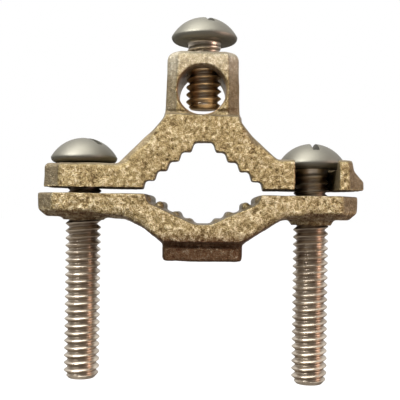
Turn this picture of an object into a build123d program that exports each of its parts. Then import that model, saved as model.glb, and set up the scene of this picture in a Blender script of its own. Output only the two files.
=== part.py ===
from build123d import *
from math import asin, cos, sin
import os

# Earth rod clamp: two cast bronze jaws drawn together on a rod by two slotted screws,
# with a boss on the upper jaw that takes the earth wire under a third screw.
# Frame: X across the clamp, the rod along Y, the screws along Z. The origin is the
# middle of the rod opening, halfway between the jaws' parting faces. Millimetres.

# ---- driving dimensions ----
casting_depth = 15.0        # along the rod
parting_gap = 0.8           # between the jaws as assembled
draft_angle = 5.0           # on every outer face that left the mould
ear_thickness = 4.2
ear_corner = 3.1            # corners cut off the ears, seen along the screws
edge_break = 0.5            # rounds or breaks the long edges
heel_break = 1.2            # round the underside of the lower ears

left_screw_x = -20.8
right_screw_x = 18.8
wire_screw_x = -0.15
upper_left_end = -27.0
upper_right_end = 27.2
lower_left_end = -28.0
lower_right_end = 26.2

# screws: quarter inch, 20 threads to the inch, with plain shanks here
shank_radius = 3.1
tip_chamfer = 0.45
jaw_screw_length = 38.1
wire_screw_length = 11.75
head_radius = 5.72
head_height = 4.5
head_rim = 0.95             # where the head is widest, above its seat
crown_bands = 3
slot_width = 1.35
slot_depth = 1.7
running_clearance = 0.1     # round a screw in its tapped hole
clearance_hole_radius = 3.6

# boss and wire hole of the upper jaw
boss_x = -0.3
boss_width = 12.9
boss_top = 23.7
boss_corner = 2.1
boss_draft = 1.4
boss_crown = 1.6
shoulder_z = 13.2           # where the full depth of the casting ends
wire_hole_x = -0.4
wire_hole_z = 17.0
wire_hole_radius = 4.1
wire_hole_lead = 0.25       # chamfer round each mouth
wire_screw_rise = 1.5       # tip of the wire screw above the floor of the hole

# side slot in the right ear, and the pocket that keeps the head over it
slot_half_width = 3.5
pocket_radius = 6.3
pocket_floor = 4.1
right_ear_top = 5.6
head_lift = 0.4             # both jaw screws stand this far off their seats

# stepped seat of the upper jaw
seat_half_width = 9.5
seat_crown_half = 1.5
seat_crown_z = 8.0
step_run = 2.0
step_rise = 1.6
riser_lean = 0.5            # each riser leans outwards by this much
step_round = 0.4

# smooth seat of the lower jaw, with ridges that stop short of its faces
valley_z = -5.4
valley_half_floor = 1.2
valley_lip = (9.0, -1.9)
ridge_tips = [(2.4, -4.4), (4.5, -3.2), (7.2, -1.6), (9.35, -0.55)]
ridge_length = 12.0
ridge_radius = 0.85

# bearing pad and screw collars under the lower jaw
pad_half_width = 6.8
pad_depth = 13.6
pad_top = -9.2
pad_bottom = -11.8
collar_radius = 4.1
collar_tip_radius = 3.5
collar_height = 1.2

# ---- worked out from those ----
half_depth = casting_depth / 2
upper_face = parting_gap / 2
lower_face = -parting_gap / 2
left_ear_top = upper_face + ear_thickness
lower_ear_bottom = lower_face - ear_thickness
tapped_radius = shank_radius + running_clearance
crown_rise = head_height - head_rim
crown_radius = (head_radius**2 + crown_rise**2) / (2 * crown_rise)


def nearest(sketch, x, z):
    """The corner of a sketch nearest to a point of its own plane."""
    return min(sketch.vertices(), key=lambda v: (v.X - x) ** 2 + (v.Y - z) ** 2)


def edges_at(piece, z, x_from, x_to):
    """Edges of a piece that lie level at height z between two places across it."""
    level = piece.edges().filter_by_position(Axis.Z, z - 0.01, z + 0.01)
    return [edge for edge in level if x_from <= edge.center().X <= x_to]


def crown_ring(share):
    """Radius and height of the crown at a share of the way down to its rim."""
    angle = share * asin(head_radius / crown_radius)
    return crown_radius * sin(angle), head_height - crown_radius * (1 - cos(angle))


def slotted_screw(at_x, seat_z, length, slot_angle, label):
    """A turned screw whose head sits on seat_z; its slot lies at slot_angle to X."""
    with BuildPart() as screw:
        with BuildSketch(Plane(origin=(at_x, 0, seat_z), x_dir=(1, 0, 0), z_dir=(0, -1, 0))):
            with BuildLine():
                Polyline(
                    (0, -length),
                    (shank_radius - tip_chamfer, -length),
                    (shank_radius, -length + tip_chamfer),
                    (shank_radius, 0),
                    (head_radius - 0.6 * head_rim, 0),
                    *(crown_ring(1 - band / crown_bands) for band in range(crown_bands + 1)),
                    close=True,
                )
            make_face()
        revolve(axis=Axis((at_x, 0, seat_z), (0, 0, 1)))
        with BuildSketch(Plane((at_x, 0, seat_z + head_height - slot_depth))):
            Rectangle(3 * head_radius, slot_width, rotation=slot_angle)
        extrude(amount=2 * slot_depth, mode=Mode.SUBTRACT)
    screw.part.label = label
    return screw


def seat_flank(side):
    """Corners of one stepped flank of the upper seat, from its crown to below the jaw."""
    reach = seat_crown_half
    level = seat_crown_z
    corners = [(side * reach, level)]
    while reach < seat_half_width:
        level = level - step_rise
        corners.append((side * (reach + riser_lean), level))
        reach = reach + step_run
        corners.append((side * reach, level))
    corners.append((side * (reach + riser_lean), lower_face))
    return corners


def plan_corners(left_end, right_end, ends):
    """Plan of an ear between two ends, with the corners at the named ends cut off."""
    with Locations(((left_end + right_end) / 2, 0)):
        plan = Rectangle(right_end - left_end, casting_depth)
    outer = [v for v in plan.vertices() if any(abs(v.X - end) < 0.01 for end in ends)]
    chamfer(outer, ear_corner)
    return plan


# ---- ears of the upper jaw ----
with BuildPart() as upper_ears:
    # left ear
    with BuildSketch(Plane.XY.offset(upper_face)):
        plan_corners(upper_left_end, -12, [upper_left_end])
    extrude(amount=ear_thickness, taper=draft_angle / 2)
    chamfer(edges_at(upper_ears, left_ear_top, upper_left_end, -11), edge_break)

    # right ear, raised to hold a pocket, its outer end leaning inwards
    with BuildSketch(Plane.XY.offset(upper_face)):
        plan_corners(12, upper_right_end, [upper_right_end])
    extrude(amount=right_ear_top - upper_face, taper=draft_angle / 2)
    chamfer(edges_at(upper_ears, right_ear_top, 11, upper_right_end), edge_break)
    with BuildSketch(Plane.XZ) as shoulder:
        with BuildLine():
            Polyline(
                (upper_right_end, 2.0),
                (upper_right_end + 1, 2.0),
                (upper_right_end + 1, right_ear_top + 1),
                (upper_right_end - 2.6, right_ear_top + 1),
                (upper_right_end - 2.1, 3.8),
                close=True,
            )
        make_face()
        fillet(nearest(shoulder, upper_right_end - 2.1, 3.8), 1.0)
    extrude(amount=casting_depth, both=True, mode=Mode.SUBTRACT)

# ---- upper jaw: ears, arms and wire boss in one casting ----
with BuildPart() as upper_jaw:
    # arms and the block over the rod, widest halfway through the casting
    with BuildSketch(Plane.XZ) as arms:
        with BuildLine():
            Polyline(
                (-17.5, -2.0),
                (-17.5, 4.5),
                (-14.9, 4.7),
                (-12.6, 7.0),
                (-9.0, 10.5),
                (-7.2, 12.6),
                (-7.0, shoulder_z + 0.4),
                (6.5, shoulder_z),
                (6.6, 12.1),
                (8.6, 9.6),
                (12.4, 6.2),
                (14.0, right_ear_top - 0.15),
                (15.5, right_ear_top - 0.15),
                (15.5, -2.0),
                close=True,
            )
        make_face()
        fillet(nearest(arms, -14.9, 4.7), 2.0)
        fillet(nearest(arms, -9.0, 10.5), 6.0)
        fillet(nearest(arms, -7.2, 12.6), 1.2)
        fillet(nearest(arms, 8.6, 9.6), 6.0)
        fillet(nearest(arms, 12.4, 6.2), 2.0)
        fillet(nearest(arms, 6.6, 12.1), 1.0)
    extrude(amount=half_depth, both=True, taper=draft_angle)
    for face in (upper_jaw.faces().sort_by(Axis.Y)[0], upper_jaw.faces().sort_by(Axis.Y)[-1]):
        fillet(face.edges(), edge_break)

    add(upper_ears.part)
    split(bisect_by=Plane.XY.offset(upper_face), keep=Keep.TOP)

    # square boss with broken corners and a crowned top
    with BuildSketch(Plane.XY.offset(8.0)) as boss_plan:
        with Locations((boss_x, 0)):
            Rectangle(boss_width, boss_width)
        chamfer(boss_plan.vertices(), boss_corner)
    extrude(amount=boss_top - 8.0, taper=boss_draft)
    fillet(upper_jaw.edges().group_by(Axis.Z)[-1], boss_crown)

    # seat for the rod, stepped into teeth that run the full depth
    with BuildSketch(Plane.XZ) as seat:
        with BuildLine():
            Polyline(*seat_flank(-1), *reversed(seat_flank(1)), close=True)
        make_face()
        tips = [v for v in seat.vertices() if lower_face + 0.1 < v.Y < seat_crown_z - 0.1]
        fillet(tips, step_round)
    extrude(amount=casting_depth, both=True, mode=Mode.SUBTRACT)

    # wire hole, chamfered at both mouths
    with BuildSketch(Plane.XZ):
        with Locations((wire_hole_x, wire_hole_z)):
            Circle(wire_hole_radius)
    extrude(amount=casting_depth, both=True, mode=Mode.SUBTRACT)
    for side in (-1, 1):
        mouth = (wire_hole_x, side * boss_width / 2, wire_hole_z)
        with BuildSketch(Plane(origin=mouth, z_dir=(0, side, 0))):
            Circle(wire_hole_radius + 2 * wire_hole_lead)
        extrude(amount=-2 * wire_hole_lead, taper=45, mode=Mode.SUBTRACT)

    # tapped hole for the wire screw, from the crown of the boss into the wire hole
    with BuildSketch(Plane.XY.offset(wire_hole_z)):
        with Locations((wire_screw_x, 0)):
            Circle(tapped_radius)
    extrude(amount=boss_top, mode=Mode.SUBTRACT)

    # clearance hole in the left ear
    with BuildSketch(Plane.XY):
        with Locations((left_screw_x, 0)):
            Circle(clearance_hole_radius)
    extrude(amount=2 * right_ear_top, mode=Mode.SUBTRACT)

    # pocket and side slot in the right ear, open to the front
    with BuildSketch(Plane.XY.offset(pocket_floor)):
        with Locations((right_screw_x, 0)):
            Circle(pocket_radius)
    extrude(amount=right_ear_top, mode=Mode.SUBTRACT)
    with BuildSketch(Plane.XY):
        with Locations((right_screw_x, 0)):
            Circle(slot_half_width)
        with Locations((right_screw_x, -casting_depth / 2)):
            Rectangle(2 * slot_half_width, casting_depth)
    extrude(amount=2 * right_ear_top, mode=Mode.SUBTRACT)
upper_jaw.part.label = "upper_jaw"

# ---- lower jaw: ears, toothed valley and bearing pad in one casting ----
with BuildPart() as lower_jaw:
    # ears
    with BuildSketch(Plane.XY.offset(lower_face)):
        plan_corners(lower_left_end, lower_right_end, [lower_left_end, lower_right_end])
    extrude(amount=-ear_thickness, taper=draft_angle / 2)
    chamfer(lower_jaw.edges().group_by(Axis.Z)[0], heel_break)

    # keel between them
    with BuildSketch(Plane.XZ) as keel:
        with BuildLine():
            Polyline(
                (-18.5, 2.0),
                (-18.5, lower_ear_bottom),
                (-13.4, -5.0),
                (-10.6, -6.3),
                (-6.9, pad_top),
                (6.9, pad_top),
                (10.2, -7.0),
                (13.6, -4.8),
                (17.5, lower_ear_bottom),
                (17.5, 2.0),
                close=True,
            )
        make_face()
        fillet(nearest(keel, -10.6, -6.3), 4.0)
        fillet(nearest(keel, -13.4, -5.0), 2.5)
        fillet(nearest(keel, 10.2, -7.0), 3.0)
        fillet(nearest(keel, 13.6, -4.8), 2.0)
    extrude(amount=half_depth, both=True, taper=draft_angle)

    split(bisect_by=Plane.XY.offset(lower_face), keep=Keep.BOTTOM)

    # pad under the valley
    with BuildSketch(Plane.XY.offset(pad_top + 1.0)):
        RectangleRounded(2 * pad_half_width, pad_depth, 1.0)
    extrude(amount=pad_bottom - pad_top - 1.0, taper=1.0)
    fillet(lower_jaw.edges().group_by(Axis.Z)[0], 0.7)

    # collars where the screws come through
    for at_x, height in ((left_screw_x, 0.6 * collar_height), (right_screw_x, collar_height)):
        with BuildSketch(Plane((at_x, 0, lower_ear_bottom + 0.2))):
            Circle(collar_radius)
        with BuildSketch(Plane((at_x, 0, lower_ear_bottom - height))):
            Circle(collar_tip_radius)
        loft()

    # smooth valley for the rod
    with BuildSketch(Plane.XZ) as valley:
        with BuildLine():
            Polyline(
                (-seat_half_width, 1.0),
                (-seat_half_width, lower_face),
                (-valley_lip[0], valley_lip[1]),
                (-valley_half_floor, valley_z),
                (valley_half_floor, valley_z),
                valley_lip,
                (seat_half_width, lower_face),
                (seat_half_width, 1.0),
                close=True,
            )
        make_face()
        for side in (-1, 1):
            fillet(nearest(valley, side * valley_lip[0], valley_lip[1]), 0.8)
            fillet(nearest(valley, side * valley_half_floor, valley_z), 1.0)
    extrude(amount=casting_depth, both=True, mode=Mode.SUBTRACT)

    # half-round ridges that bite on the rod
    for side in (-1, 1):
        for tip_x, tip_z in ridge_tips:
            with Locations((side * tip_x, 0, tip_z - ridge_radius)):
                Cylinder(ridge_radius, ridge_length, rotation=(90, 0, 0))

    # tapped holes
    with BuildSketch(Plane.XY.offset(1.0)):
        with Locations((left_screw_x, 0), (right_screw_x, 0)):
            Circle(tapped_radius)
    extrude(amount=pad_bottom, mode=Mode.SUBTRACT)
lower_jaw.part.label = "lower_jaw"

# ---- screws ----
left_seat = left_ear_top + head_lift
left_jaw_screw = slotted_screw(
    left_screw_x, left_seat, jaw_screw_length, -45, "left_jaw_screw"
)
right_seat = pocket_floor + head_lift
right_jaw_screw = slotted_screw(
    right_screw_x, right_seat, jaw_screw_length, -86, "right_jaw_screw"
)
wire_seat = wire_hole_z - wire_hole_radius + wire_screw_rise + wire_screw_length
wire_screw = slotted_screw(
    wire_screw_x, wire_seat, wire_screw_length, -71, "wire_screw"
)

os.makedirs("parts", exist_ok=True)
for piece in (upper_jaw, lower_jaw, left_jaw_screw, right_jaw_screw, wire_screw):
    export_step(piece.part, f"parts/{piece.part.label}.step")
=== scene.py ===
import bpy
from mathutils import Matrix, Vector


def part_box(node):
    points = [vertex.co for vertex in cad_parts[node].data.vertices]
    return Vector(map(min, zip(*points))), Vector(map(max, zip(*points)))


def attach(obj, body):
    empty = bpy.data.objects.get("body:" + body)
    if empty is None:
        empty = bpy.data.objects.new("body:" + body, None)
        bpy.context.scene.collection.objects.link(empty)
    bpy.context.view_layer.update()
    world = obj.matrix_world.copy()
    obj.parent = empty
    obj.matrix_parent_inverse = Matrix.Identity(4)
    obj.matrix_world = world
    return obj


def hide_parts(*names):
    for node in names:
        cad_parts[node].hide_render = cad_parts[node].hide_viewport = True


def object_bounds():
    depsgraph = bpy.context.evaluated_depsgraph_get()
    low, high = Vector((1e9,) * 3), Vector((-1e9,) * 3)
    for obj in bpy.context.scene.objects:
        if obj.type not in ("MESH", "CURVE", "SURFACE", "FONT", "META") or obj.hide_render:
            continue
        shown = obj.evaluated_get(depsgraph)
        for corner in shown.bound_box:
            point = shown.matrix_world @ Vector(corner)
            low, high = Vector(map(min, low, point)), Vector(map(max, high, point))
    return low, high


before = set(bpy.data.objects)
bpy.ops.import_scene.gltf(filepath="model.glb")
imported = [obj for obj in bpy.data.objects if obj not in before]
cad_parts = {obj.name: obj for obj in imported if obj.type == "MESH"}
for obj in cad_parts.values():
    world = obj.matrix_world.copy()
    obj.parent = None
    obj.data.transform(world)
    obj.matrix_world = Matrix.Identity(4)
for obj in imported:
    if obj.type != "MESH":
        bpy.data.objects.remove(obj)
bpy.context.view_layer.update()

from math import asin, cos, pi, radians, sin

import bmesh
import bpy
import numpy as np
from mathutils import Matrix, Vector

mm = 0.001
print("frame loaded")


class Socket:  # a node's output, which adds Math nodes when it is used in sums
    def __init__(self, finish, link):
        self.finish = finish
        self.link = link

    def _math(self, operation, first, second):
        return self.finish.node(
            "ShaderNodeMath", {"operation": operation}, {0: first, 1: second}
        )

    def __add__(self, other): return self._math("ADD", self, other)
    def __radd__(self, other): return self._math("ADD", other, self)
    def __sub__(self, other): return self._math("SUBTRACT", self, other)
    def __rsub__(self, other): return self._math("SUBTRACT", other, self)
    def __mul__(self, other): return self._math("MULTIPLY", self, other)
    def __rmul__(self, other): return self._math("MULTIPLY", other, self)

    def step(self, low, high):  # 0 below low, 1 above high, soft between
        return self.finish.node(
            "ShaderNodeMapRange",
            {"interpolation_type": "SMOOTHSTEP"},
            {"Value": self, "From Min": low, "From Max": high},
        )


class Finish:  # one material or world and the nodes in it
    def __init__(self, owner):
        owner.use_nodes = True
        self.owner = owner
        self.tree = owner.node_tree
        self.tree.nodes.clear()

    def node(self, kind, settings=None, sockets=None, out=0):
        made = self.tree.nodes.new(kind)
        for name, value in (settings or {}).items():
            setattr(made, name, value)
        for name, value in (sockets or {}).items():
            if isinstance(value, Socket):
                self.tree.links.new(value.link, made.inputs[name])
            else:
                made.inputs[name].default_value = value
        return Socket(self, made.outputs[out]) if len(made.outputs) else None

    def place(self):  # the piece's own coordinates, in metres
        return self.node("ShaderNodeTexCoord", out=3)

    def mark(self, name):  # a value stored at each point of the mesh
        return self.node("ShaderNodeAttribute", {"attribute_name": name}, out=2)

    def noise(self, place, size, detail, rough):  # size in millimetres
        return self.node(
            "ShaderNodeTexNoise",
            {},
            {"Vector": place, "Scale": 1.0 / (size * mm), "Detail": detail, "Roughness": rough},
        )

    def blend(self, share, first, second):
        return self.node(
            "ShaderNodeMix", {"data_type": "RGBA"}, {0: share, 6: first, 7: second}, out=2
        )

    def bump(self, height, strength, distance):
        return self.node(
            "ShaderNodeBump",
            {},
            {"Height": height, "Strength": strength, "Distance": distance},
        )

    def surface(self, sockets):
        shader = self.node("ShaderNodeBsdfPrincipled", {}, sockets)
        self.node("ShaderNodeOutputMaterial", {}, {"Surface": shader})
        return self.owner


def rgb(r, g, b):
    return (r, g, b, 1.0)


def addObject(name, data):
    made = bpy.data.objects.new(name, data)
    bpy.context.scene.collection.objects.link(made)
    return made


def meshOf(work, name):  # turns a bmesh into a mesh
    mesh = bpy.data.meshes.new(name)
    work.to_mesh(mesh)
    work.free()
    return mesh


def evaluated(item):  # the mesh of an object with its modifiers applied
    depsgraph = bpy.context.evaluated_depsgraph_get()
    result = bpy.data.meshes.new_from_object(item.evaluated_get(depsgraph))
    bpy.data.objects.remove(item)
    return result


def arrays(mesh):
    points = np.empty(len(mesh.vertices) * 3)
    mesh.vertices.foreach_get("co", points)
    normals = np.empty(len(mesh.vertices) * 3)
    mesh.vertex_normals.foreach_get("vector", normals)
    return points.reshape(-1, 3), normals.reshape(-1, 3)


def storeMarks(mesh, marks):
    for name, values in marks.items():
        layer = mesh.attributes.new(name, "FLOAT", "POINT")
        layer.data.foreach_set("value", values.astype(np.float32))


def standIn(name, mesh, finish, node, body):  # the visible piece for one node
    mesh.materials.clear()
    mesh.materials.append(finish)
    piece = addObject(name, mesh)
    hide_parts(node)
    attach(piece, body)
    print(name, sum(len(face.vertices) - 2 for face in mesh.polygons), "triangles")


casting = {
    "voxel": 0.208 * mm,       # mesh spacing of the sand texture
    "weld": 1e-7,
    "wearFactor": 0.5,
    "grain": 0.5 * mm,         # size of a grain
    "grainDepth": 0.14 * mm,
    "coarseShare": 0.65,       # of the grain, the rest is half the size
    "lump": 2.2 * mm,
    "lumpDepth": 0.12 * mm,
    "smoothShare": 0.25,       # grain left on faces that the mould rubbed smooth
    "halfDepth": 7.5 * mm,
    "core": 4.2 * mm,          # nothing nearer the middle is drawn in by the rounding
    "beyond": 0.25 * mm,       # a boss or pad past the outline by this much stays square
    "unevenSize": 1.3 * mm,    # of the ups and downs along a rounded edge
    "uneven": 0.3,
    "leastAmount": 0.05,
    "fullArc": 0.98,
}

upperShape = {  # outline that front and back round over to: x, z, how far, in millimetres
    "outline": [
        (-27.0, 4.6, 0.25), (-17.5, 4.6, 0.35), (-14.0, 5.4, 0.8), (-12.6, 7.0, 1.0),
        (-9.0, 10.5, 1.0), (-7.2, 12.6, 0.7), (-6.6, 13.3, 0.4), (6.3, 13.3, 0.4),
        (6.8, 12.0, 0.7), (8.6, 9.6, 0.9), (12.0, 6.5, 0.6), (13.5, 5.6, 0.2),
        (27.2, 5.6, 0.2),
    ],
    "height": 2.5 * mm,
    "depth": 1.9 * mm,
    "wear": 8,
    "side": 1,                 # the outline is the top of this casting
    "brown": 0.24,
    "pale": -0.008,
}

lowerShape = {
    "outline": [
        (-28.0, -4.6, 0.75), (-18.5, -4.6, 0.75), (-13.4, -5.0, 0.9), (-10.6, -6.3, 1.0),
        (-6.9, -9.2, 0.6), (-5.8, -9.2, 0.42), (5.8, -9.2, 0.42), (6.9, -9.2, 0.6),
        (10.2, -7.0, 1.0), (13.6, -4.9, 0.8), (17.5, -4.6, 0.6), (26.2, -4.6, 0.5),
    ],
    "height": 2.5 * mm,
    "depth": 2.1 * mm,
    "wear": 22,
    "side": -1,                # the outline is the underside of this casting
    "brown": 0.18,
    "pale": 0.014,
}

seat = {  # the stepped seat widens to the back, as cast seats do
    "spread": 0.1,
    "centre": (0.87 * mm, -3.05 * mm),
    "crown": (1.5 * mm, 8.0 * mm),
    "end": (9.75 * mm, 0.6 * mm),
    "full": 0.8 * mm,          # the whole spread this far past the teeth
    "fade": 3.2 * mm,          # and none of it this much further on
    "foot": 0.45 * mm,         # the parting face isn't lifted
    "footFade": 1.0 * mm,
}

wireHole = {"x": -0.4 * mm, "z": 17.0 * mm, "radius": 4.1 * mm}

holeEdge = {"reach": 0.25 * mm, "fade": 0.2 * mm}

rubbing = {
    "facing": 0.93,            # faces turned further from the front than this are smooth
    "fade": 0.25,
    "roundGain": 2.5,
    "roundStart": 0.35,
    "underGain": 1.4,
    "underCurve": 1.5,
}


def lattice(cells, seed):  # a fixed random number for each cell, from large odd multipliers
    mixed = (
        cells[..., 0] * 374761393 + cells[..., 1] * 668265263
        + cells[..., 2] * 2147483647 + seed * 1442695041
    ) & 0xFFFFFFFF
    mixed = ((mixed ^ (mixed >> 13)) * 1274126177) & 0xFFFFFFFF
    mixed = ((mixed ^ (mixed >> 16)) * 2246822519) & 0xFFFFFFFF
    return ((mixed ^ (mixed >> 15)) & 0xFFFFFF) / 0xFFFFFF


def eased(share):
    return share * share * (3 - 2 * share)


def grainField(points, size, seed):  # smooth random field from 0 to 1
    scaled = points / size + 1000.0   # kept positive
    low = np.floor(scaled).astype(np.int64)
    part = eased(scaled - low)
    total = np.zeros(len(points))
    for corner in np.ndindex(2, 2, 2):
        weight = np.prod(np.where(corner, part, 1 - part), axis=1)
        total += weight * lattice(low + np.array(corner), seed)
    return total


def remeshed(node, rounds):  # a closed, even mesh of a CAD node, its edges worn round
    work = bmesh.new()
    work.from_mesh(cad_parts[node].data)
    bmesh.ops.remove_doubles(work, verts=work.verts, dist=casting["weld"])
    block = addObject("block", meshOf(work, "block"))
    even = block.modifiers.new("even", "REMESH")
    even.mode = "VOXEL"
    even.voxel_size = casting["voxel"]
    even.use_smooth_shade = True
    wear = block.modifiers.new("wear", "SMOOTH")
    wear.factor = casting["wearFactor"]
    wear.iterations = rounds
    return evaluated(block)


def edgeShare(points, shape):  # 1 at the rounded outline, 0 where the flat front begins
    x, z, amounts = np.array(shape["outline"]).T
    along = points[:, 0] / mm
    edge = np.interp(along, x, z) * mm
    tilt = np.interp(along, x, np.gradient(z, x))
    amount = np.interp(along, x, amounts)
    inward = (edge - points[:, 2]) * shape["side"] / np.sqrt(1 + tilt**2)
    reach = shape["height"] * np.maximum(amount, casting["leastAmount"])
    share = np.clip(1 - inward / reach, 0, 1)
    return np.where(inward < -casting["beyond"], 0, share), amount


def rounded(points, shape):  # draws the front and back in along the outline
    share, amount = edgeShare(points, shape)
    uneven = grainField(points, casting["unevenSize"], 9)
    share = np.clip(share * (1 - casting["uneven"] / 2 + casting["uneven"] * uneven), 0, 1)
    arc = 1 - np.sqrt(1 - share**2 * casting["fullArc"])
    limit = casting["halfDepth"] - shape["depth"] * amount * arc
    core = casting["core"]
    out = np.abs(points[:, 1])
    drawn = core + (out - core) * (limit - core) / (casting["halfDepth"] - core)
    points[:, 1] = np.sign(points[:, 1]) * np.where(out > core, drawn, out)
    return points, share * np.minimum(amount, 1)


def spreadSeat(points):
    back = (points[:, 1] + casting["halfDepth"]) / (2 * casting["halfDepth"])
    crown, flank = np.array(seat["crown"]), np.array(seat["end"])
    along = (flank - crown) / np.linalg.norm(flank - crown)
    across = np.abs(points[:, 0]) - crown[0]
    rise = points[:, 2] - crown[1]
    outward = np.maximum(rise, rise * along[0] - across * along[1])
    near = np.clip(1 - (outward - seat["full"]) / seat["fade"], 0, 1)
    near = eased(near) * back * seat["spread"]
    lift = np.clip((points[:, 2] - seat["foot"]) / seat["footFade"], 0, 1)
    points[:, 0] += (points[:, 0] - seat["centre"][0]) * near
    points[:, 2] += (points[:, 2] - seat["centre"][1]) * near * lift
    return points


def drilled(points, holes):  # 1 in a machined hole, where there is no sand grain
    cut = np.zeros(len(points))
    for hole in holes:
        away = np.hypot(points[:, 0] - hole["x"], points[:, 2] - hole["z"])
        edge = hole["radius"] + holeEdge["reach"]
        cut = np.maximum(cut, np.clip((edge - away) / holeEdge["fade"], 0, 1))
    return cut


def rubbedSmooth(normals, turned, under, isUpper):  # 1 on ends, tops and drafted strips
    facing = np.abs(normals[:, 1])
    rubbed = np.clip((rubbing["facing"] - facing) / rubbing["fade"], 0, 1)
    if isUpper:
        strip = np.clip(turned * rubbing["roundGain"] - rubbing["roundStart"], 0, 1)
        rubbed = np.maximum(rubbed, strip)
    return rubbed * (1 - under)


def roughened(points, normals, grit, cut):  # sinks sand grain and lumps into the faces
    lumps = grainField(points, casting["lump"], 5)
    coarse = grainField(points, casting["grain"], 1)
    small = grainField(points, casting["grain"] / 2, 2)
    grain = coarse * casting["coarseShare"] + small * (1 - casting["coarseShare"])
    sink = casting["grainDepth"] * (1 - grain) * grit
    sink = sink + casting["lumpDepth"] * (1 - lumps) * (1 - cut)
    return points - normals * sink[:, None], np.clip(1 - grain, 0, 1)


def castMesh(node, shape, holes):
    isUpper = shape["side"] > 0
    mesh = remeshed(node, shape["wear"])
    points, normals = arrays(mesh)
    if isUpper:
        points = spreadSeat(points)
    points, turned = rounded(points, shape)
    cut = drilled(points, holes)
    under = np.clip(-normals[:, 2] * rubbing["underGain"], 0, 1)
    rubbed = rubbedSmooth(normals, turned, under, isUpper)
    grit = (1 - rubbed * (1 - casting["smoothShare"])) * (1 - cut)
    points, pit = roughened(points, normals, grit, cut)
    low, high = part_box(node)
    points = np.clip(points, np.array(low), np.array(high))
    mesh.vertices.foreach_set("co", points.ravel())
    # painted shade: faces turned down, and on the lower jaw also its rounded lower edges
    shade = under if isUpper else np.maximum(under, turned ** rubbing["underCurve"])
    storeMarks(mesh, {"grit": grit, "cut": cut, "pit": pit, "shade": shade})
    mesh.update()
    return mesh


bronze = {
    "pale": rgb(0.82, 0.71, 0.48),
    "gold": rgb(0.41, 0.31, 0.14),
    "brown": rgb(0.075, 0.04, 0.016),
    # painted shade beneath: the colour of undersides, rounded lower edges and the foot
    "shadeRed": rgb(0.075, 0.024, 0.010),
    # paler top of the boss: a lighter patina and a painted highlight
    "wornHighlight": rgb(0.74, 0.69, 0.56),
    # painted shade: the dark colour of the smooth strips, ends and tops
    "smooth": rgb(0.18, 0.14, 0.085),
    "machined": rgb(0.50, 0.35, 0.18),
    "metallic": 0.75,
    "roughness": 0.36,
    "bump": 0.85 * mm,
    "footTop": 0.0045,         # the painted shade deepens from here down to footBottom
    "footBottom": 0.0105,
    "wornHighlightFrom": 0.0175,        # the boss is painted paler above here: a lighter patina and a painted highlight
    "wornHighlightFull": 0.0225,
    "wornHighlightShare": (0.3, 0.5),   # everywhere, and more on the pale grains
    "sand": (0.5, 4.0, 0.75),  # noise: size in millimetres, detail, roughness
    "fine": (0.18, 2.0, 0.6),
    "swell": (1.3, 2.0, 0.5),
    "patch": (4.5, 3.0, 0.5),
    "toneShares": (0.45, 0.42, 0.25),    # of sand, fine grain and the mesh's own relief
    "paleRange": (0.55, 0.7),
    "darkRange": (0.43, 0.57),
    "patchShare": 1.1,
    "smoothRange": (0.75, 0.3),
    "smoothBlend": 0.8,
    "shadeShares": (0.7, 1.1),           # of undersides, and of the foot
    "shadeTone": (2.1, 2.0, 0.5),        # base, less on pale grains, more in patches
    "shadeRange": (0.1, 1.0),
    "shadeBlend": 0.85,
    "shadedCut": 0.9,          # painted shade: machined metal goes brown where it faces down
    "reliefShares": (0.55, 0.3, 0.6),    # of sand, fine grain and swellings
    "reliefGrit": (0.9, 0.1),
    "darkRoughness": 0.25,
    "fineRoughness": 0.12,
}


def sandColour(finish, tone, dark, bright, grit):
    colour = finish.blend(bright, bronze["gold"], bronze["pale"])
    colour = finish.blend(dark, colour, bronze["brown"])
    # painted shade: the smooth strips, ends and tops are painted darker
    smooth = grit.step(*bronze["smoothRange"]) * bronze["smoothBlend"]
    return finish.blend(smooth, colour, bronze["smooth"])


def paintedShadeBeneath(finish, colour, place, height, shade, tone, patch):  # painted shade: red-brown on faces turned down, on the lower jaw's rounded lower edges, and towards the bottom
    deep = (height * -1).step(bronze["footTop"], bronze["footBottom"])
    under, foot = bronze["shadeShares"]
    base, paleLess, patchMore = bronze["shadeTone"]
    spread = base - tone * paleLess + (patch - 0.5) * patchMore
    shadeAmount = (shade * under + deep * foot) * spread
    share = shadeAmount.step(*bronze["shadeRange"]) * bronze["shadeBlend"]
    return finish.blend(share, colour, bronze["shadeRed"])


def wornHighlitBoss(finish, colour, height, bright):  # paler at the top: a lighter patina and a painted highlight
    everywhere, onPale = bronze["wornHighlightShare"]
    above = height.step(bronze["wornHighlightFrom"], bronze["wornHighlightFull"])
    return finish.blend(above * (bright * onPale + everywhere), colour, bronze["wornHighlight"])


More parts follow.
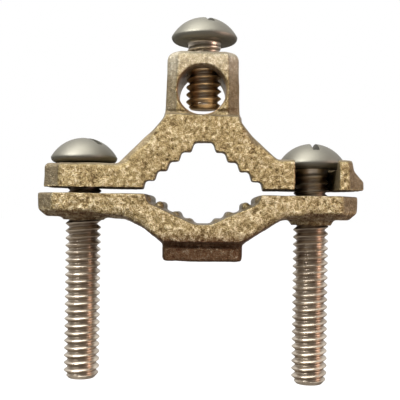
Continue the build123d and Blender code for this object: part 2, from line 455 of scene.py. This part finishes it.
def bronzeFinish(name, brownShare, paleShift):
    finish = Finish(bpy.data.materials.new(name))
    place = finish.place()
    grit, cut = finish.mark("grit"), finish.mark("cut")
    pit, shade = finish.mark("pit"), finish.mark("shade")
    height = finish.node("ShaderNodeSeparateXYZ", {}, {0: place}, out=2)
    sand = finish.noise(place, *bronze["sand"])
    fine = finish.noise(place, *bronze["fine"])
    swell = finish.noise(place, *bronze["swell"])
    patch = finish.noise(place, *bronze["patch"])
    bySand, byFine, byRelief = bronze["toneShares"]
    tone = sand * bySand + fine * byFine + (1 - pit) * byRelief
    bright = (tone + paleShift).step(*bronze["paleRange"])
    patchy = patch * bronze["patchShare"] + brownShare
    dark = (1 - tone).step(*bronze["darkRange"]) * patchy
    colour = sandColour(finish, tone, dark, bright, grit)
    colour = paintedShadeBeneath(finish, colour, place, height, shade, tone, patch)
    colour = wornHighlitBoss(finish, colour, height, bright)
    # painted shade darkens the machined holes where they face down
    clean = cut * (1 - shade * bronze["shadedCut"])
    colour = finish.blend(clean, colour, bronze["machined"])
    bySand, byFine, bySwell = bronze["reliefShares"]
    relief = sand * bySand + fine * byFine + swell * bySwell
    onGrit, everywhere = bronze["reliefGrit"]
    relief = relief * (grit * onGrit + everywhere)
    dulling = dark * bronze["darkRoughness"] + fine * bronze["fineRoughness"]
    return finish.surface({
        "Base Color": colour,
        "Metallic": bronze["metallic"],
        "Roughness": bronze["roughness"] + dulling,
        "Normal": finish.bump(relief, 1.0, bronze["bump"]),
    })


def makeUpperJaw():
    mesh = castMesh("upper_jaw", upperShape, [wireHole])
    finish = bronzeFinish("cast_bronze_upper", upperShape["brown"], upperShape["pale"])
    standIn("upper_jaw_casting", mesh, finish, "upper_jaw", "upper")


def makeLowerJaw():
    mesh = castMesh("lower_jaw", lowerShape, [])
    finish = bronzeFinish("cast_bronze_lower", lowerShape["brown"], lowerShape["pale"])
    standIn("lower_jaw_casting", mesh, finish, "lower_jaw", "lower")


makeUpperJaw()
makeLowerJaw()
print("castings made")


screw = {
    "pitch": 1.27 * mm,
    "crest": 3.06 * mm,
    "root": 2.42 * mm,
    "neck": 2.85 * mm,
    "neckStep": 0.15 * mm,     # small step from the neck to the underside of the head
    "neckHeight": 0.35 * mm,
    "headHeight": 4.4 * mm,
    "settle": 0.2 * mm,        # the head sits this far below the solid's
    "rim": 0.95 * mm,
    "underFlat": 1.6 * mm,
    "rimRows": 8,
    "crownRows": 18,
    "slotWidth": 1.15 * mm,
    "slotDepth": 1.3 * mm,
    "columns": 72,
    "rowsPerTurn": 12,
    "crestFlat": 0.08,         # in turns
    "flank": 0.8,
    "leadRoot": 0.93,          # blunt first thread
    "leadSlope": 0.9,
    "runOut": 1.6,             # turns over which the thread fades into the neck
    "weld": 2e-7,
    "sharpAngle": 50,
}

# painted shade in the thread roots: how far in, and where it stops
rootShade = {"radius": 2.85 * mm, "fade": 0.35 * mm, "tipClear": 0.8 * mm, "headFrom": 0.1 * mm}

leftScrew = {"length": 38.1 * mm, "shortfall": 0.7 * mm, "slotAngle": -36}

rightScrew = {"length": 38.1 * mm, "shortfall": 0.7 * mm, "slotAngle": -86}

wireScrew = {"length": 11.75 * mm, "shortfall": 0, "slotAngle": -71}


def threadRadius(turn, height, toNeck):  # turn and height in whole turns; right-hand thread
    phase = (height - turn) % 1.0
    away = abs(2 * phase - 1)
    down = min(max((away - screw["crestFlat"]) / screw["flank"], 0), 1)
    radius = screw["crest"] - down * (screw["crest"] - screw["root"])
    lead = screw["root"] * screw["leadRoot"] + height * screw["pitch"] * screw["leadSlope"]
    fade = min(max(toNeck / screw["runOut"], 0), 1)
    return min(screw["neck"] + (radius - screw["neck"]) * fade, lead)


def headRows(radius):  # half section of the head above its seat
    rim = screw["rim"]
    rise = screw["headHeight"] - rim
    crown = (radius**2 + rise**2) / (2 * rise)
    neck, step = screw["neck"], screw["neckStep"]
    rows = [(neck, -step), (neck + step, 0.0), (radius - screw["underFlat"], 0.0)]
    for k in range(screw["rimRows"] + 1):
        angle = k / screw["rimRows"] * pi / 2
        rows.append((radius - rim + rim * sin(angle), rim * (1 - cos(angle))))
    sweep = asin(radius / crown)
    for k in range(1, screw["crownRows"]):
        angle = sweep * (1 - k / screw["crownRows"])
        rows.append((crown * sin(angle), screw["headHeight"] - crown * (1 - cos(angle))))
    return rows


def ring(work, axisX, radii, heights):
    columns = screw["columns"]
    made = []
    for i in range(columns):
        angle = 2 * pi * i / columns
        place = (axisX + radii[i] * cos(angle), radii[i] * sin(angle), heights[i])
        made.append(work.verts.new(place))
    return made


def threadRows(work, axisX, tip, turns):  # rows that climb one pitch in a turn
    columns, perTurn = screw["columns"], screw["rowsPerTurn"]
    rows = []
    for k in range(int(turns * perTurn) + perTurn + 3):
        climbs = [min(max(k / perTurn + i / columns - 1, 0), turns) for i in range(columns)]
        radii = [threadRadius(i / columns, h, turns - h) for i, h in enumerate(climbs)]
        rows.append(ring(work, axisX, radii, [tip + h * screw["pitch"] for h in climbs]))
    return rows


def threadFaces(work, rows):
    columns, perTurn = screw["columns"], screw["rowsPerTurn"]
    count = len(rows) - 1
    for k in range(count):
        for i in range(columns):
            if i < columns - 1:
                quad = [rows[k][i], rows[k][i + 1], rows[k + 1][i + 1], rows[k + 1][i]]
            else:                                  # one turn on, a pitch higher
                over, up = min(k + perTurn, count), min(k + 1 + perTurn, count)
                quad = [rows[k][i], rows[over][0], rows[up][0], rows[k + 1][i]]
            corners = list(dict.fromkeys(quad))
            if len(corners) > 2:
                work.faces.new(corners)


def headFaces(work, last, axisX, radius, seatZ):
    columns = screw["columns"]
    for r, z in headRows(radius):
        above = ring(work, axisX, [r] * columns, [seatZ + z] * columns)
        for i in range(columns):
            j = (i + 1) % columns
            work.faces.new((last[i], last[j], above[j], above[i]))
        last = above
    return last


def closeEnds(work, first, last, axisX, tip, top):
    pole = work.verts.new((axisX, 0, top))
    foot = work.verts.new((axisX, 0, tip))
    for i in range(len(last)):
        j = (i + 1) % len(last)
        work.faces.new((last[i], last[j], pole))
        work.faces.new((first[j], first[i], foot))


def turnedBlank(axisX, radius, tip, seatZ):  # thread, neck and head without the slot
    work = bmesh.new()
    turns = (seatZ - screw["neckHeight"] - tip) / screw["pitch"]
    rows = threadRows(work, axisX, tip, turns)
    threadFaces(work, rows)
    last = headFaces(work, rows[-1], axisX, radius, seatZ)
    closeEnds(work, rows[0], last, axisX, tip, seatZ + screw["headHeight"])
    bmesh.ops.remove_doubles(work, verts=work.verts, dist=screw["weld"])
    bmesh.ops.dissolve_degenerate(work, edges=work.edges, dist=screw["weld"])
    bmesh.ops.recalc_face_normals(work, faces=work.faces)
    return addObject("blank", meshOf(work, "blank"))


def slotKnife(axisX, radius, top, angle):
    work = bmesh.new()
    bmesh.ops.create_cube(work, size=1.0)
    size = (3 * radius, screw["slotWidth"], 2 * screw["slotDepth"], 1)
    bmesh.ops.transform(work, matrix=Matrix.Diagonal(size), verts=work.verts)
    turn = Matrix.Rotation(radians(angle), 4, "Z")
    spin = Matrix.Translation((axisX, 0, top)) @ turn
    bmesh.ops.transform(work, matrix=spin, verts=work.verts)
    return addObject("knife", meshOf(work, "knife"))


def slotted(blank, knife):
    cut = blank.modifiers.new("slot", "BOOLEAN")
    cut.operation = "DIFFERENCE"
    cut.solver = "EXACT"
    cut.object = knife
    result = evaluated(blank)
    bpy.data.objects.remove(knife)
    return result


def markScrew(mesh, axisX, tip, seatZ):  # which points are head, and the thread roots that get painted shade
    points = arrays(mesh)[0]
    away = np.hypot(points[:, 0] - axisX, points[:, 1])
    onHead = points[:, 2] > seatZ - rootShade["headFrom"]
    deep = np.clip((rootShade["radius"] - away) / rootShade["fade"], 0, 1)
    hollow = deep * (points[:, 2] > tip + rootShade["tipClear"]) * ~onHead
    storeMarks(mesh, {"head": onHead, "hollow": hollow})


def makeScrew(name, node, body, kind, finish):
    low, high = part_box(node)
    axisX = (low.x + high.x) / 2
    radius = (high.x - low.x) / 2
    seatZ = low.z + kind["length"] - screw["settle"]
    tip = low.z + kind["shortfall"]
    top = seatZ + screw["headHeight"]
    blank = turnedBlank(axisX, radius, tip, seatZ)
    mesh = slotted(blank, slotKnife(axisX, radius, top, kind["slotAngle"]))
    markScrew(mesh, axisX, tip, seatZ)
    mesh.polygons.foreach_set("use_smooth", [True] * len(mesh.polygons))
    mesh.set_sharp_from_angle(angle=radians(screw["sharpAngle"]))
    standIn(name, mesh, finish, node, body)


steel = {
    "bright": rgb(0.68, 0.60, 0.49),
    "dull": rgb(0.46, 0.39, 0.31),
    "root": rgb(0.22, 0.155, 0.11),      # painted shade between the threads
    "head": rgb(0.215, 0.205, 0.17),
    "roughness": 0.28,
    "headRoughness": 0.48,
    "hazeRoughness": 0.1,
    "bump": 0.02 * mm,
    "bumpStrength": 0.2,
    "haze": (2.5, 3.0, 0.5),   # noise: size in millimetres, detail, roughness
    "speck": (0.22, 2.0, 0.5),
    "hazeRange": (0.35, 0.7),
    "rootShadeShares": (0.25, 0.4), # everywhere, and more in the haze
    "reliefShares": (0.3, 0.7),          # of specks and haze
}


def steelFinish():
    finish = Finish(bpy.data.materials.new("screw_steel"))
    place = finish.place()
    haze = finish.noise(place, *steel["haze"])
    speck = finish.noise(place, *steel["speck"])
    head, hollow = finish.mark("head"), finish.mark("hollow")
    colour = finish.blend(haze.step(*steel["hazeRange"]), steel["bright"], steel["dull"])
    everywhere, inHaze = steel["rootShadeShares"]
    # painted shade in the thread roots
    colour = finish.blend(hollow * (everywhere + haze * inHaze), colour, steel["root"])
    colour = finish.blend(head, colour, steel["head"])
    dulling = head * (steel["headRoughness"] - steel["roughness"])
    bySpeck, byHaze = steel["reliefShares"]
    uneven = speck * bySpeck + haze * byHaze
    return finish.surface({
        "Base Color": colour,
        "Metallic": 1.0,
        "Roughness": steel["roughness"] + dulling + haze * steel["hazeRoughness"],
        "Normal": finish.bump(uneven, steel["bumpStrength"], steel["bump"]),
    })


def makeLeftJawScrew(finish):
    makeScrew("left_jaw_screw_threaded", "left_jaw_screw", "left_screw", leftScrew, finish)


def makeRightJawScrew(finish):
    makeScrew("right_jaw_screw_threaded", "right_jaw_screw", "right_screw", rightScrew, finish)


def makeWireScrew(finish):
    makeScrew("wire_screw_threaded", "wire_screw", "wire_clamp", wireScrew, finish)


screwSteel = steelFinish()
makeLeftJawScrew(screwSteel)
makeRightJawScrew(screwSteel)
makeWireScrew(screwSteel)
print("screws made")


floorCard = {
    "size": 3.0,
    "drop": 22 * mm,           # below the screw tips
    "colour": rgb(0.9, 0.9, 0.9),
    "bounce": rgb(0.3, 0.28, 0.26),
    "roughness": 0.9,
    "glowNear": rgb(0.8, 0.8, 0.8),      # less right under the clamp, so its shadow shows
    "glowFar": rgb(1, 1, 1),
    "nearTo": 0.04,
    "farFrom": 0.085,
    "glow": 1.27,
    "glowShare": 0.8,
}

surround = {
    "matt": 0.13,              # light from all round, as matt surfaces see it
    "nearSide": 0.1,           # what polished surfaces mirror from the viewer's side
    "behind": 0.6,
    "behindRange": (-0.55, 0.5),
    "above": 0.5,
    "aboveRange": (0.1, 0.8),
    "colour": rgb(1, 1, 1),
}

softBoxes = {  # place, width, height, power, tint
    "front_box": ((-0.19, -0.17, 0.25), 0.13, 0.13, 1.3, (1, 1, 1)),
    "top_box": ((-0.05, -0.08, 0.36), 0.34, 0.30, 1.2, (1, 1, 0.97)),
    "side_box": ((0.30, -0.10, 0.04), 0.16, 0.3, 0.6, (1, 0.72, 0.64)),
}

camera = {
    "sensor": 36,
    "lens": 67.14,
    "shift": (-0.02, 0.025),
    "place": (0.87 * mm, -130 * mm, -3.05 * mm),
    "roll": 0.8,
    "clip": (0.01, 20),
}


def floorFinish():
    finish = Finish(bpy.data.materials.new("floor_card"))
    seen = finish.node("ShaderNodeLightPath", out=0)       # 1 for what the camera sees
    tone = finish.blend(seen, floorCard["bounce"], floorCard["colour"])
    matt = finish.node(
        "ShaderNodeBsdfPrincipled", {}, {"Base Color": tone, "Roughness": floorCard["roughness"]}
    )
    place = finish.place()
    away = finish.node("ShaderNodeVectorMath", {"operation": "LENGTH"}, {0: place}, out=1)
    far = away.step(floorCard["nearTo"], floorCard["farFrom"])
    white = finish.blend(far, floorCard["glowNear"], floorCard["glowFar"])
    glow = finish.node(
        "ShaderNodeEmission", {}, {"Color": white, "Strength": floorCard["glow"]}
    )
    share = seen * floorCard["glowShare"]
    shader = finish.node("ShaderNodeMixShader", {}, {0: share, 1: matt, 2: glow})
    finish.node("ShaderNodeOutputMaterial", {}, {"Surface": shader})
    return finish.owner


def makeFloor():
    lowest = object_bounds()[0].z
    work = bmesh.new()
    bmesh.ops.create_grid(work, x_segments=1, y_segments=1, size=floorCard["size"])
    floor = addObject("floor", meshOf(work, "floor"))
    floor.location = (0, 0, lowest - floorCard["drop"])
    floor.data.materials.append(floorFinish())


def makeSoftBox(name, place, width, height, power, tint):
    lamp = bpy.data.lights.new(name, "AREA")
    lamp.shape = "RECTANGLE"
    lamp.size = width
    lamp.size_y = height
    lamp.energy = power
    lamp.color = tint
    holder = addObject(name, lamp)
    holder.location = place
    holder.rotation_mode = "QUATERNION"
    holder.rotation_quaternion = (-Vector(place)).to_track_quat("-Z", "Y")


def makeSurround():
    world = bpy.data.worlds.new("surround")
    bpy.context.scene.world = world
    finish = Finish(world)
    direction = finish.node("ShaderNodeTexCoord", out=0)
    depth = finish.node("ShaderNodeSeparateXYZ", {}, {0: direction}, out=1)
    height = finish.node("ShaderNodeSeparateXYZ", {}, {0: direction}, out=2)
    behind = depth.step(*surround["behindRange"])
    above = height.step(*surround["aboveRange"])
    seen = finish.node("ShaderNodeLightPath", out="Is Camera Ray")
    glossy = finish.node("ShaderNodeLightPath", out="Is Glossy Ray")
    through = finish.node("ShaderNodeLightPath", out="Is Transmission Ray")
    clear = seen + through
    mirrored = behind * surround["behind"] + above * surround["above"] + surround["nearSide"]
    rest = (1 - seen) * (1 - glossy) * (1 - through) * surround["matt"]
    strength = clear + glossy * mirrored * (1 - clear) + rest
    light = finish.node(
        "ShaderNodeBackground", {}, {"Color": surround["colour"], "Strength": strength}
    )
    finish.node("ShaderNodeOutputWorld", {}, {"Surface": light})


def makeCamera():
    data = bpy.data.cameras.new("camera")
    data.sensor_width = camera["sensor"]
    data.lens = camera["lens"]
    data.shift_x, data.shift_y = camera["shift"]
    data.clip_start, data.clip_end = camera["clip"]
    holder = addObject("camera", data)
    holder.location = camera["place"]
    holder.rotation_euler = (radians(90), radians(-camera["roll"]), 0)
    bpy.context.scene.camera = holder


makeFloor()
makeSurround()
for name, settings in softBoxes.items():
    makeSoftBox(name, *settings)
makeCamera()
bpy.context.scene.view_settings.view_transform = "Standard"
print("studio made")
